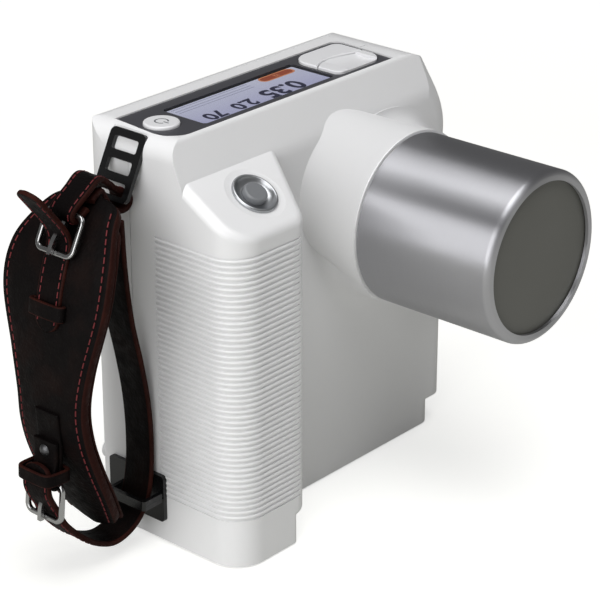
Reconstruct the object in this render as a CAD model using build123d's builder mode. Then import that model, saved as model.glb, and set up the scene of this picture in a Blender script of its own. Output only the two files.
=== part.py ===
from build123d import *
from math import cos, radians, sin, tan
import os

os.makedirs("parts", exist_ok=True)

# The frame: millimetres, Z up, the cone points along -Y, the grip is at -X.
# X = 0 is under the beam axis, Y = 0 is the parting plane, Z = 0 is the base.

# Housing
left_x = -116.0
right_x = 44.0
front_y = -27.5
back_y = 27.5
top_z = 167.0
slope_foot_z = 150.5
crest_y = -20.4
wall = 2.6
corner_r = 15.0
front_corner_r = 8.0
shoulder_r = 24.0
foot_h = 11.0
foot_step_right = 8.5
foot_step_back = 4.0
seam_low_z = 12.4
small_shoulder_r = 8.0

# Grip column and its facet
grip_front_y = -54.0
grip_right_x = -78.0
grip_root_x = -64.5
grip_corner_r = 13.0
grip_right_r = 8.0
facet_z = 135.8
facet_tilt = 31.0
groove_count = 49
groove_pitch = 2.26
groove_first_z = 20.2
groove_w = 0.85
groove_deep = 0.5
groove_end_x = -80.6
groove_end_y = -12.5

# Cone and neck
beam_z = 109.0
neck_r = 36.0
neck_front_y = -42.5
neck_flare = 6.0
lobe_x = -22.0
lobe_z = 125.5
lobe_r = 29.5
cone_r = 35.0
spigot_outer_r = 34.4
spigot_step = 0.4
cone_wall = 2.0
cone_rim_r = 2.5
cone_lip_r = 30.9
cone_lip_t = 1.4
cone_back_y = -36.6
cone_front_y = -106.4

# Panel on the top
panel_recess = 1.2
overlay_t = 0.7
overlay_z = top_z - panel_recess
frame_t = 3.4
frame_z = overlay_z - frame_t
key_proud = 1.2
flange_top_z = top_z - wall - 0.12
key_gap = 0.25
key_bottom_z = frame_z - 0.9
power_xy = (-101.0, -3.0)
power_r = 7.0

# Exposure button
expo_x = -89.5
expo_y = -39.1
bezel_r = 9.3
bezel_body_r = 7.9
dish_r = 13.0
expo_r = 4.8

# Hand strap
strap_y = -5.0
leather_t = 2.2
belt_w = 14.0
pad_t = 5.4
lining_t = 1.2
plate_t = 1.8
plate_w = 18.0
stud_yz = [(-10.0, 25.0), (10.0, 25.0)]
buckle_w = 20.0
buckle_l = 17.0
wire_r = 1.0

jack_x = 14.0
jack_z = 26.0
jack_r = 4.5

fit = 0.1
running = 0.05


def near(value, target, tol=0.05):
    return abs(value - target) < tol


def save(part, name):
    part.label = name
    export_step(part, "parts/" + name + ".step")


# Directions of the facet: its outward normal and the button's axis
facet_n = Vector(0, -sin(radians(facet_tilt)), cos(radians(facet_tilt)))
facet_rise = tan(radians(facet_tilt))
expo_z = facet_z + facet_rise * (expo_y - grip_front_y)
expo_centre = Vector(expo_x, expo_y, expo_z)
expo_axis = Axis(expo_centre, facet_n)
expo_profile = Plane(origin=expo_centre, x_dir=(1, 0, 0), z_dir=Vector(1, 0, 0).cross(facet_n))


def foot_sketch(inset):
    """Outline of the foot, moved inwards all round."""
    right = right_x - foot_step_right
    grip = grip_right_x - 4.8
    root = grip_root_x - 4.8
    back = back_y - foot_step_back
    with BuildSketch(mode=Mode.PRIVATE) as s:
        with BuildLine():
            Polyline(
                (left_x, back), (left_x, grip_front_y), (grip, grip_front_y), (root, front_y),
                (right, front_y), (right, back), close=True,
            )
        make_face()
        fillet([v for v in s.vertices() if near(v.X, left_x) and v.Y < front_y], grip_corner_r)
        fillet([v for v in s.vertices() if near(v.X, left_x) and v.Y > 0], corner_r)
        fillet([v for v in s.vertices() if near(v.X, right)], 7.0)
        fillet([v for v in s.vertices() if near(v.X, grip)], 3.0)
        if inset:
            offset(amount=-inset)
    return s.sketch


def grip_column(inset):
    """Grip column with its tilted facet, to be joined to the body."""
    left = left_x + inset
    right = grip_right_x - inset
    root = grip_root_x - inset
    front = grip_front_y + inset
    body_front = front_y + inset
    bottom = foot_h + inset
    into_body = 6.0
    facet_low = facet_z - inset / cos(radians(facet_tilt)) + facet_rise * inset
    with BuildPart(mode=Mode.PRIVATE) as g:
        with BuildSketch(Plane.XY.offset(bottom)) as s:
            with BuildLine():
                Polyline(
                    (left, body_front + into_body), (left, front), (right, front),
                    (root, body_front), (root, body_front + into_body), close=True,
                )
            make_face()
            fillet([v for v in s.vertices() if near(v.X, left) and near(v.Y, front)], grip_corner_r - inset)
            fillet([v for v in s.vertices() if near(v.X, right)], grip_right_r - inset)
        extrude(amount=top_z)
        with BuildSketch(Plane.YZ.offset(left - 1)):
            with BuildLine():
                top_back = facet_low + facet_rise * (body_front + into_body + 1 - front)
                Polyline(
                    (front - 1, 0), (front - 1, facet_low - facet_rise),
                    (body_front + into_body + 1, top_back), (body_front + into_body + 1, 0), close=True,
                )
            make_face()
        extrude(amount=60, mode=Mode.INTERSECT)
        top = g.faces().sort_by(Axis(g.part.center(), facet_n))[-1]
        fillet([e for e in top.edges() if e.center().Y < body_front - 1], 4.0 - inset)
        low = g.edges().filter_by(lambda e: near(e.center().Z, bottom))
        fillet([e for e in low if e.center().X > right - 0.1 and e.center().Y < body_front - 1], 3.0 - inset)
    return g.part


def plan_sketch(inset, z, front_r):
    """Plan of the body at a height, with that radius at its front right corner."""
    left = left_x + inset
    right = right_x - inset
    front = front_y + inset
    back = back_y - inset
    with BuildSketch(Plane.XY.offset(z), mode=Mode.PRIVATE) as s:
        with BuildLine():
            Polyline((left, front), (left, back), (right, back), (right, front), close=True)
        make_face()
        fillet([v for v in s.vertices() if near(v.X, right) and near(v.Y, front)], front_r - inset)
        fillet([v for v in s.vertices() if near(v.Y, back)], corner_r - inset)
    return s.sketch


# Height and radius of the front right corner, which opens out towards the top
shoulder = [(118.0, 8.0), (134.0, 8.6), (144.0, 12.5), (151.0, 19.0), (158.0, 27.0), (168.0, 37.0)]


def housing_form(inset):
    """Whole outer form of the unit, or the form of its cavity when moved inwards by the wall."""
    left = left_x + inset
    right = right_x - inset
    front = front_y + inset
    back = back_y - inset
    top = top_z - inset
    bottom = foot_h + inset
    start = shoulder[0][0]
    with BuildPart(mode=Mode.PRIVATE) as f:
        loft([plan_sketch(inset, z, r) for z, r in shoulder])
        add(extrude(plan_sketch(inset, bottom, front_corner_r), amount=start - bottom, mode=Mode.PRIVATE))
        with BuildSketch(Plane.YZ.offset(left - 5)) as s:
            with BuildLine():
                Polyline(
                    (front, bottom), (front, slope_foot_z), (crest_y + inset / 2, top),
                    (back, top), (back, bottom), close=True,
                )
            make_face()
            fillet([v for v in s.vertices() if near(v.Y, slope_foot_z)], 14.0)
            fillet([v for v in s.vertices() if near(v.Y, top) and v.X < 0], 2.0)
            fillet([v for v in s.vertices() if near(v.Y, top) and v.X > 0], 8.0 - inset)
        extrude(amount=right - left + 10, mode=Mode.INTERSECT)
        with BuildSketch(Plane.XZ.offset(-back - 5)) as s:
            with BuildLine():
                Polyline((left, bottom), (left, top), (right, top), (right, bottom), close=True)
            make_face()
            fillet([v for v in s.vertices() if near(v.Y, top) and near(v.X, right)], shoulder_r - inset)
            fillet([v for v in s.vertices() if near(v.Y, top) and near(v.X, left)], small_shoulder_r - inset)
            fillet([v for v in s.vertices() if near(v.Y, bottom) and near(v.X, right)], 4.0 - inset)
        extrude(amount=back - front + 10, mode=Mode.INTERSECT)
        add(grip_column(inset))
        add(extrude(foot_sketch(inset), amount=foot_h + 6))
        add(neck_form(inset))
        add(lobe_form(inset))
    return f.part


def neck_form(inset):
    """Round neck with a flared foot, cut off at the right side of the body."""
    front = front_y + inset
    tip = neck_front_y + (6.0 if inset else 0.0)
    side = beam_z + neck_r - inset
    foot = front - neck_flare
    lean = neck_flare * (1 - cos(radians(45)))
    with BuildPart(mode=Mode.PRIVATE) as n:
        with BuildSketch(Plane.YZ):
            with BuildLine():
                Polyline((front + 4, beam_z), (tip, beam_z), (tip, side), (foot, side))
                ThreePointArc((foot, side), (front - lean, side + lean), (front, side + neck_flare))
                Polyline((front, side + neck_flare), (front + 4, side + neck_flare), (front + 4, beam_z))
            make_face()
        revolve(axis=Axis((0, 0, beam_z), (0, 1, 0)))
        with BuildSketch(Plane.XZ.offset(-front - 4)):
            with Locations((right_x - front_corner_r / 2 - inset - 60, beam_z)):
                Rectangle(120, 120)
        extrude(amount=60, mode=Mode.INTERSECT)
    return n.part


def lobe_form(inset):
    """Swelling that runs from the neck up to the left, as an oblique cone."""
    front = front_y + inset
    tip = neck_front_y + (6.0 if inset else 0.3)
    back = front + 5.0
    share = (back - front) / (front - tip)
    x = lobe_x * (1 + share)
    z = lobe_z + (lobe_z - beam_z) * share
    radius = lobe_r - (neck_r - lobe_r) * share
    sections = []
    for y, centre, r in ((back, (x, z), radius), (tip, (0, beam_z), neck_r - 0.2)):
        with BuildSketch(Plane.XZ.offset(-y), mode=Mode.PRIVATE) as s:
            with Locations(centre):
                Circle(r - inset)
        sections.append(s.sketch)
    return loft(sections, ruled=True)


def groove_ring():
    """One groove, following the left side, the round corner and the front of the grip."""
    with BuildPart(mode=Mode.PRIVATE) as ring:
        for grow, mode in ((1.0, Mode.ADD), (-groove_deep, Mode.SUBTRACT)):
            with BuildSketch(Plane.XY.offset(-groove_w / 2)) as s:
                with BuildLine():
                    Polyline(
                        (left_x, 10), (left_x, grip_front_y), (grip_right_x, grip_front_y),
                        (grip_root_x, front_y), (grip_root_x, 10), close=True,
                    )
                make_face()
                fillet([v for v in s.vertices() if near(v.X, left_x) and v.Y < 0], grip_corner_r)
                fillet([v for v in s.vertices() if near(v.X, grip_right_x)], grip_right_r)
                offset(amount=grow)
            extrude(amount=groove_w, mode=mode)
        with BuildSketch(Plane.XY.offset(-groove_w)):
            with BuildLine():
                Polyline(
                    (left_x - 2, groove_end_y), (left_x - 2, grip_front_y - 2),
                    (groove_end_x, grip_front_y - 2), (groove_end_x, groove_end_y), close=True,
                )
            make_face()
        extrude(amount=2 * groove_w, mode=Mode.INTERSECT)
    return ring.part


# Outlines on the panel
def overlay_sketch(grow):
    with BuildSketch(mode=Mode.PRIVATE) as s:
        with BuildLine():
            Polyline(
                (-108.8, 13.3), (-110.4, -8.0), (-109.6, -18.8), (15.4, -18.8), (17.5, 13.3), close=True,
            )
        make_face()
        fillet([v for v in s.vertices() if v.X < -107 and v.Y < -10], 8.0)
        fillet([v for v in s.vertices() if v.X > 17], 4.0)
        if grow:
            offset(amount=grow, kind=Kind.INTERSECTION)
    return s.sketch


def screen_sketch(grow):
    with BuildSketch(mode=Mode.PRIVATE) as s:
        with BuildLine():
            Polyline((-90.2, -15.0), (-16.2, -15.0), (-16.2, 7.7), (-90.0, 7.7), close=True)
        make_face()
        fillet(s.vertices(), 1.8)
        if grow:
            offset(amount=grow)
    return s.sketch


def keys_sketch(grow):
    with BuildSketch(mode=Mode.PRIVATE) as s:
        with BuildLine():
            Polyline((-14.8, -16.3), (13.8, -16.3), (14.4, 10.4), (-14.8, 10.4), close=True)
        make_face()
        fillet([v for v in s.vertices() if v.X < -14 and v.Y > 0], 9.0)
        fillet([v for v in s.vertices() if v.X < -14 and v.Y < 0], 3.5)
        fillet([v for v in s.vertices() if v.X > 13 and v.Y < 0], 8.0)
        fillet([v for v in s.vertices() if v.X > 13 and v.Y > 0], 4.0)
        if grow:
            offset(amount=grow)
    return s.sketch


def key_half(rear, gap):
    """Area of the panel behind or in front of the curved line between the two keys."""
    side = 1 if rear else -1
    shift = side * gap
    far = 30 * side
    with BuildSketch(mode=Mode.PRIVATE) as s:
        with BuildLine():
            Spline(
                (-22, -10.5 + shift), (-17, -6.8 + shift), (-12.4, -3.5 + shift), (-7.5, -1.6 + shift),
                (0, -1.5 + shift), (24, -3.0 + shift),
            )
            Polyline((24, -3.0 + shift), (24, far), (-22, far), (-22, -10.5 + shift))
        make_face()
    return s.sketch


def key(rear):
    """One hollow key with a retaining lip below the frame."""
    top = overlay_z + overlay_t + key_proud
    with BuildPart(mode=Mode.PRIVATE) as k:
        with BuildSketch(Plane.XY.offset(key_bottom_z)):
            add(keys_sketch(-key_gap))
            add(key_half(rear, key_gap), mode=Mode.INTERSECT)
        extrude(amount=top - key_bottom_z)
        fillet(k.faces().sort_by(Axis.Z)[-1].edges(), 0.7 if rear else 0.5)
        if not rear:
            with BuildSketch(Plane.YZ.offset(0.5)):
                with Locations((-9.0, top + 26.6)):
                    Circle(28.0)
            extrude(amount=9.5, both=True, mode=Mode.SUBTRACT)
        with BuildSketch(Plane.XY.offset(key_bottom_z)):
            add(keys_sketch(0.7))
            add(key_half(rear, key_gap), mode=Mode.INTERSECT)
        extrude(amount=0.8)
        with BuildSketch(Plane.XY.offset(key_bottom_z)):
            add(keys_sketch(-key_gap - 1.5))
            add(key_half(rear, key_gap + 1.5), mode=Mode.INTERSECT)
        extrude(amount=top - key_bottom_z - 3.2, mode=Mode.SUBTRACT)
    return k.part


# Screw positions: pillars join both halves of the housing, and the base
pillars = [
    (-109.8, 26.0, -7.0, 22.5), (-109.8, 128.0, -7.0, 22.5), (32.4, 26.0, -26.0, 23.0),
    (32.4, 128.0, -26.0, 23.0), (-46.0, 22.0, -26.0, 26.0), (-46.0, 147.0, -26.0, 26.0),
]
base_pillars = [(24.4, 17.4), (24.4, -21.4), (-109.8, 10.0), (-97.0, -47.8)]
pillar_r = 4.0
screw_seat_y = 19.0
base_t = 3.0

outer = housing_form(0)
cavity = housing_form(wall)

# White housing, both halves with everything that they share
with BuildPart() as shell:
    add(outer)
    add(cavity, mode=Mode.SUBTRACT)
    with BuildSketch(Plane.XY.offset(-1)):
        add(foot_sketch(wall))
    extrude(amount=foot_h, mode=Mode.SUBTRACT)
    for x, z, y_low, y_high in pillars:
        with BuildSketch(Plane.XZ.offset(-y_high)):
            with Locations((x, z)):
                Circle(pillar_r)
        extrude(amount=y_high - y_low)
        with BuildSketch(Plane.XZ.offset(-y_high)):
            with Locations((x, z)):
                Circle(1.3)
        extrude(amount=y_high + 6.5, mode=Mode.SUBTRACT)
        with BuildSketch(Plane.XZ.offset(-back_y - 1)):
            with Locations((x, z)):
                Circle(1.7)
        extrude(amount=back_y + 1, mode=Mode.SUBTRACT)
        with BuildSketch(Plane.XZ.offset(-back_y - 1)):
            with Locations((x, z)):
                Circle(3.3)
        extrude(amount=back_y + 1 - screw_seat_y, mode=Mode.SUBTRACT)
    with BuildSketch(Plane.XY.offset(base_t + running)):
        with Locations(*base_pillars):
            Circle(pillar_r)
    extrude(amount=10.5)
    with BuildSketch(Plane.XY):
        with Locations(*base_pillars):
            Circle(1.2)
    extrude(amount=11.5, mode=Mode.SUBTRACT)
    # Recess of the panel, and the opening of its frame with a ledge all round
    with BuildSketch(Plane.XY.offset(overlay_z)):
        add(overlay_sketch(0.15))
    extrude(amount=5, mode=Mode.SUBTRACT)
    with BuildSketch(Plane.XY.offset(top_z - wall - 1)):
        add(overlay_sketch(-1.0))
    extrude(amount=5, mode=Mode.SUBTRACT)
    # Bore of the neck
    with BuildSketch(Plane.XZ.offset(-neck_front_y - 12)):
        with Locations((0, beam_z)):
            Circle(spigot_outer_r + running)
    extrude(amount=14, mode=Mode.SUBTRACT)
    # Dished seat and hole of the exposure bezel
    with BuildSketch(expo_profile):
        with BuildLine():
            Polyline(
                (0, 1), (dish_r, 1), (dish_r, 0.12), (bezel_r + 0.2, -0.5), (bezel_body_r + 0.1, -0.5),
                (bezel_body_r + 0.1, -6), (0, -6), close=True,
            )
        make_face()
    revolve(axis=expo_axis, mode=Mode.SUBTRACT)
    # Stud holes of the lower strap plate
    with BuildSketch(Plane.YZ.offset(left_x - 1)):
        with Locations(*stud_yz):
            Circle(1.15)
    extrude(amount=wall + 1.5, mode=Mode.SUBTRACT)
    # Parting line: a fine groove round the ridge
    with BuildSketch(Plane.XZ):
        with BuildLine():
            Polyline(
                (left_x - 2, seam_low_z), (left_x - 2, top_z + 2), (right_x + 2, top_z + 2),
                (right_x + 2, seam_low_z), close=True,
            )
        seam = make_face()
        fillet([v for v in seam.vertices() if v.Z > top_z and v.X > 0], shoulder_r + 2)
        fillet([v for v in seam.vertices() if v.Z > top_z and v.X < 0], small_shoulder_r + 2)
        offset(amount=-2.35, mode=Mode.SUBTRACT)
    extrude(amount=0.25, both=True, mode=Mode.SUBTRACT)

# Plate at the left shoulder: it leans outwards, with three windows and two studs
plate_y = 1.45
plate_len = 26.7
plate_lean = 27.17
window_w = 12.5
window_h = 5.0
window_first = 5.6
window_pitch = 8.3
plate_top = Vector(-112.5, plate_y, 166.0)
plate_out = Vector(-cos(radians(plate_lean)), 0, sin(radians(plate_lean)))
plate_plane = Plane(origin=plate_top, x_dir=(0, -1, 0), z_dir=plate_out)
with BuildPart() as upper_plate:
    with BuildSketch(plate_plane) as s:
        with Locations((0, -plate_len / 2)):
            Rectangle(plate_w, plate_len)
        fillet(s.vertices(), 2.5)
        with Locations([(0, -window_first - i * window_pitch) for i in range(3)]):
            RectangleRounded(window_w, window_h, 0.9, mode=Mode.SUBTRACT)
    extrude(amount=plate_t / 2, both=True)
    with BuildSketch(plate_plane.offset(-plate_t / 2)):
        with Locations((-6.0, -1.6), (6.0, -1.6)):
            Circle(1.1)
    extrude(amount=-2.2)
with BuildPart() as plate_seat:
    with BuildSketch(plate_plane.offset(-plate_t / 2 - 0.02)) as s:
        with Locations((0, -plate_len / 2 + 1)):
            Rectangle(plate_w + 0.3, plate_len + 2.3)
    extrude(amount=plate_t + 4)
    with BuildSketch(plate_plane):
        with Locations((-6.0, -1.6), (6.0, -1.6)):
            Circle(1.15)
    extrude(amount=-4.4)

with BuildPart() as front_housing:
    add(split(objects=shell.part - plate_seat.part, bisect_by=Plane.XZ, keep=Keep.TOP, mode=Mode.PRIVATE))
    ring = groove_ring()
    with Locations([(0, 0, groove_first_z + i * groove_pitch) for i in range(groove_count)]):
        add(ring, mode=Mode.SUBTRACT)
with BuildPart() as rear_housing:
    add(split(objects=shell.part - plate_seat.part, bisect_by=Plane.XZ, keep=Keep.BOTTOM, mode=Mode.PRIVATE))
    # Hole of the charging socket
    with BuildSketch(Plane.XZ.offset(-back_y - 1)):
        with Locations((jack_x, jack_z)):
            Circle(jack_r + fit)
    extrude(amount=wall + 2, mode=Mode.SUBTRACT)
save(front_housing.part, "front_housing")
save(rear_housing.part, "rear_housing")
save(upper_plate.part, "strap_plate_upper")

# Screws of the housing: pan heads in the counterbores of the back
with BuildPart() as housing_screws:
    for x, z, y_low, y_high in pillars:
        with BuildSketch(Plane.XZ.offset(-screw_seat_y)):
            with Locations((x, z)):
                Circle(3.0)
        extrude(amount=-2.2)
        with BuildSketch(Plane.XZ.offset(-screw_seat_y)):
            with Locations((x, z)):
                Circle(1.3)
        extrude(amount=screw_seat_y + 5.0)
        with BuildSketch(Plane.XZ.offset(-screw_seat_y - 2.2)):
            with Locations((x, z)):
                Rectangle(3.4, 0.7)
                Rectangle(0.7, 3.4)
        extrude(amount=1.2, mode=Mode.SUBTRACT)
save(housing_screws.part, "housing_screws")

# Base: closing plate, its screws, four feet and the threaded bush
bush_r = 5.0
bush_len = 9.0
thread_r = 2.6
foot_pad_r = 5.0
foot_pads = [(-103.0, -38.0), (-98.0, 12.0), (14.0, -17.0), (14.0, 12.0)]
with BuildPart() as base_plate:
    with BuildSketch(Plane.XY):
        add(foot_sketch(wall + fit))
    extrude(amount=base_t)
    with BuildSketch(Plane.XY.offset(base_t)):
        Circle(bush_r + 3)
    extrude(amount=bush_len - base_t)
    with BuildSketch(Plane.XY.offset(base_t)):
        with Locations((-45, 0)):
            RectangleRounded(62, 34, 4)
            RectangleRounded(58, 30, 2.5, mode=Mode.SUBTRACT)
    extrude(amount=3.5)
    with BuildSketch(Plane.XY):
        Circle(bush_r + fit / 2)
    extrude(amount=bush_len, mode=Mode.SUBTRACT)
    with BuildSketch(Plane.XY):
        with Locations(*foot_pads):
            Circle(foot_pad_r + fit)
    extrude(amount=1.0, mode=Mode.SUBTRACT)
    with BuildSketch(Plane.XY):
        with Locations(*base_pillars):
            Circle(3.0)
    extrude(amount=1.7, mode=Mode.SUBTRACT)
    with BuildSketch(Plane.XY):
        with Locations(*base_pillars):
            Circle(1.5)
    extrude(amount=base_t, mode=Mode.SUBTRACT)
save(base_plate.part, "base_plate")

with BuildPart() as base_screws:
    with BuildSketch(Plane.XY.offset(0.2)):
        with Locations(*base_pillars):
            Circle(2.7)
            Rectangle(3.0, 0.6, mode=Mode.SUBTRACT)
            Rectangle(0.6, 3.0, mode=Mode.SUBTRACT)
    extrude(amount=0.8)
    with BuildSketch(Plane.XY.offset(1.0)):
        with Locations(*base_pillars):
            Circle(2.7)
    extrude(amount=0.7)
    with BuildSketch(Plane.XY.offset(1.7)):
        with Locations(*base_pillars):
            Circle(1.2)
    extrude(amount=8.5)
save(base_screws.part, "base_screws")

with BuildPart() as rubber_feet:
    with BuildSketch(Plane.XY.offset(1.0)):
        with Locations(*foot_pads):
            Circle(foot_pad_r)
    extrude(amount=-1.8)
    fillet(rubber_feet.edges().group_by(Axis.Z)[0], 0.6)
save(rubber_feet.part, "rubber_feet")

with BuildPart() as tripod_bush:
    with BuildSketch(Plane.XY):
        Circle(bush_r)
    extrude(amount=bush_len)
    with BuildSketch(Plane.XY):
        Circle(thread_r)
    extrude(amount=bush_len - 1, mode=Mode.SUBTRACT)
save(tripod_bush.part, "tripod_bush")

# Panel: overlay, frame, window, screen, keys, mat and board
with BuildPart() as overlay:
    with BuildSketch(Plane.XY.offset(overlay_z)):
        add(overlay_sketch(0))
        add(screen_sketch(0.1), mode=Mode.SUBTRACT)
        add(keys_sketch(0), mode=Mode.SUBTRACT)
        with Locations(power_xy):
            Circle(power_r + key_gap, mode=Mode.SUBTRACT)
    extrude(amount=overlay_t)
save(overlay.part, "control_overlay")

with BuildPart() as panel_frame:
    with BuildSketch(Plane.XY.offset(overlay_z)):
        add(overlay_sketch(-1.15))
    extrude(amount=-frame_t)
    with BuildSketch(Plane.XY.offset(flange_top_z)):
        add(overlay_sketch(-0.4))
        with Locations((-108.0 + 70, 0)):
            Rectangle(140, 60, mode=Mode.INTERSECT)
    extrude(amount=-(flange_top_z - frame_z))
    with BuildSketch(Plane.XY.offset(overlay_z)):
        add(screen_sketch(-0.6))
        add(keys_sketch(0))
        with Locations(power_xy):
            Circle(power_r + key_gap)
    extrude(amount=-frame_t, mode=Mode.SUBTRACT)
save(panel_frame.part, "panel_frame")

with BuildPart() as display_window:
    with BuildSketch(Plane.XY.offset(overlay_z)):
        add(screen_sketch(0))
    extrude(amount=overlay_t)
save(display_window.part, "display_window")

module_t = 5.2
with BuildPart() as display_module:
    with BuildSketch(Plane.XY.offset(overlay_z - 0.1)):
        add(screen_sketch(-0.9))
    extrude(amount=-module_t)
    with BuildSketch(Plane.XY.offset(frame_z - 0.1)):
        with Locations((-53.5, -4.1)):
            Rectangle(70, 21.5)
    extrude(amount=-(module_t - frame_t))
save(display_module.part, "display_module")

with BuildPart() as power_button:
    with BuildSketch(Plane.XY.offset(key_bottom_z)):
        with Locations(power_xy):
            Circle(power_r)
    extrude(amount=overlay_z + overlay_t + key_proud - key_bottom_z)
    fillet(power_button.edges().group_by(Axis.Z)[-1], 0.8)
    with BuildSketch(Plane.XY.offset(key_bottom_z)):
        with Locations(power_xy):
            Circle(power_r + 1.1)
    extrude(amount=0.8)
    with BuildSketch(Plane.XY.offset(key_bottom_z)):
        with Locations(power_xy):
            Circle(power_r - 1.5)
    extrude(amount=4.0, mode=Mode.SUBTRACT)
save(power_button.part, "power_button")

rear_key = key(True)
front_key = key(False)
save(rear_key, "rear_key")
save(front_key, "front_key")

board_z = 155.6
mat_z = board_z + 1.7
key_domes = [(0.5, 5.0), (0.5, -8.0), power_xy]
with BuildPart() as keypad_mat:
    with BuildSketch(Plane.XY.offset(mat_z)):
        with Locations((0.5, -2.0)):
            Rectangle(27, 22)
        with Locations(power_xy):
            Rectangle(13, 13)
    extrude(amount=1.0)
    with BuildSketch(Plane.XY.offset(mat_z + 1.0)):
        with Locations(*key_domes):
            Circle(4.0)
    extrude(amount=key_bottom_z - 0.95 - mat_z - 1.0, taper=20)
save(keypad_mat.part, "keypad_mat")

with BuildPart() as control_board:
    with BuildSketch(Plane.XY.offset(board_z)):
        with Locations((-46.5, -2.0)):
            Rectangle(125, 24)
    extrude(amount=1.6)
    with BuildSketch(Plane.XY.offset(board_z)):
        with Locations((-30, -4), (-66, 0)):
            Rectangle(12, 12)
        with Locations((-84, 4), (-12, 4)):
            Rectangle(6, 9)
    extrude(amount=-1.8)
save(control_board.part, "control_board")

# Exposure button in its dished ring, on the tilted facet
with BuildPart() as exposure_bezel:
    with BuildSketch(expo_profile):
        with BuildLine():
            Polyline((bezel_body_r, -0.45), (bezel_r, -0.45), (bezel_r, 0.35))
            ThreePointArc((bezel_r, 0.35), (8.7, 0.85), (8.0, 0.6))
            ThreePointArc((8.0, 0.6), (6.9, -0.6), (5.6, -1.2))
            Polyline(
                (5.6, -1.2), (expo_r + 0.12, -1.2), (expo_r + 0.12, -5.0), (bezel_body_r, -5.0),
                (bezel_body_r, -0.45),
            )
        make_face()
    revolve(axis=expo_axis)
save(exposure_bezel.part, "exposure_bezel")

with BuildPart() as exposure_button:
    with BuildSketch(expo_profile):
        with BuildLine():
            Polyline((0, -6.0), (6.0, -6.0), (6.0, -5.1), (expo_r, -5.1), (expo_r, 0.7))
            ThreePointArc((expo_r, 0.7), (4.5, 1.3), (3.9, 1.5))
            Polyline((3.9, 1.5), (0, 1.5), (0, -6.0))
        make_face()
    revolve(axis=expo_axis)
save(exposure_button.part, "exposure_button")

expo_plane = Plane(origin=expo_centre, x_dir=(1, 0, 0), z_dir=facet_n)
with BuildPart() as exposure_switch:
    with BuildSketch(expo_plane.offset(-7.8)):
        Circle(1.6)
    extrude(amount=-1.0)
    with BuildSketch(expo_plane.offset(-8.8)):
        Rectangle(12, 12)
    extrude(amount=-6.0)
save(exposure_switch.part, "exposure_switch")

# Cone: tube, lining, window, seal and the ring that holds it in the neck
beam = Axis((0, 0, beam_z), (0, 1, 0))


def turned(points):
    """Solid of revolution about the beam axis from (y, radius) points."""
    with BuildPart(mode=Mode.PRIVATE) as p:
        with BuildSketch(Plane.YZ):
            with BuildLine():
                Polyline([(y, beam_z + r) for y, r in points], close=True)
            make_face()
        revolve(axis=beam)
    return p.part


bore_r = cone_r - cone_wall
with BuildPart() as cone_tube:
    step_y = neck_front_y - spigot_step
    add(turned([
        (cone_back_y, bore_r), (cone_back_y, spigot_outer_r), (step_y, spigot_outer_r), (step_y, cone_r),
        (cone_front_y, cone_r), (cone_front_y, cone_lip_r), (cone_front_y + cone_lip_t, cone_lip_r),
        (cone_front_y + cone_lip_t, bore_r),
    ]))
    rims = cone_tube.edges().filter_by(GeomType.CIRCLE).group_by(Axis.Y)[0]
    fillet([e for e in rims if near(e.radius, cone_r)], cone_rim_r)
save(cone_tube.part, "cone_tube")

window_y = cone_front_y + 2.0
with BuildPart() as cone_lining:
    add(turned([
        (cone_back_y, bore_r - fit), (cone_back_y, bore_r - 2), (window_y + 4, bore_r - 2),
        (window_y + 4, bore_r - fit),
    ]))
save(cone_lining.part, "cone_lining")

with BuildPart() as cone_window:
    add(turned([(window_y + 2.4, 0), (window_y, 0), (window_y, 31.9), (window_y + 2.4, 31.9)]))
    fillet(cone_window.edges().group_by(Axis.Y)[0], 0.5)
save(cone_window.part, "cone_window")

with BuildPart() as window_seal:
    add(turned([
        (window_y + 0.6, 32.0), (window_y + 0.6, bore_r - 0.05), (window_y + 3.9, bore_r - 0.05),
        (window_y + 3.9, 30.8), (window_y + 2.45, 30.8), (window_y + 2.45, 32.0),
    ]))
save(window_seal.part, "window_seal")

ring_front_y = -35.9
spigot_r = 28.9
with BuildPart() as neck_ring:
    add(turned([(ring_front_y, 29.0), (ring_front_y, 33.2), (-27.0, 33.2), (-27.0, 29.0)]))
save(neck_ring.part, "neck_ring")

# X-ray generator
tank_x = (-30.0, 25.0)
tank_y = (-19.0, 20.0)
tank_z = (64.0, 140.0)
tank_mid = ((tank_x[0] + tank_x[1]) / 2, (tank_z[0] + tank_z[1]) / 2)
tank_w = tank_x[1] - tank_x[0]
tank_h = tank_z[1] - tank_z[0]
with BuildPart() as tank:
    with BuildSketch(Plane.XZ.offset(-tank_y[1] + 3)):
        with Locations(tank_mid):
            RectangleRounded(tank_w, tank_h, 6)
    extrude(amount=tank_y[1] - 3 - tank_y[0])
    with BuildSketch(Plane.XZ.offset(-tank_y[1] + 3)):
        with Locations(tank_mid):
            RectangleRounded(tank_w - 6, tank_h - 6, 3)
    extrude(amount=tank_y[1] - 3 - tank_y[0] - 3, mode=Mode.SUBTRACT)
    add(turned([(tank_y[0] + 0.01, 0), (tank_y[0] + 0.01, spigot_r), (-33.0, spigot_r), (-33.0, 0)]))
    beam_bore = [(tank_y[0] + 5, 0), (tank_y[0] + 5, 10), (-20.5, 10), (-20.5, 16), (-34, 16), (-34, 0)]
    add(turned(beam_bore), mode=Mode.SUBTRACT)
save(tank.part, "generator_tank")

with BuildPart() as tank_cover:
    with BuildSketch(Plane.XZ.offset(-tank_y[1])):
        with Locations(tank_mid):
            RectangleRounded(tank_w, tank_h, 6)
    extrude(amount=3 - 0.02)
    with BuildSketch(Plane.XZ.offset(-tank_y[1])):
        with Locations(tank_mid):
            with GridLocations(tank_w - 12, tank_h - 12, 2, 2):
                Circle(2.4)
    extrude(amount=-1.6)
save(tank_cover.part, "tank_cover")

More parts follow.
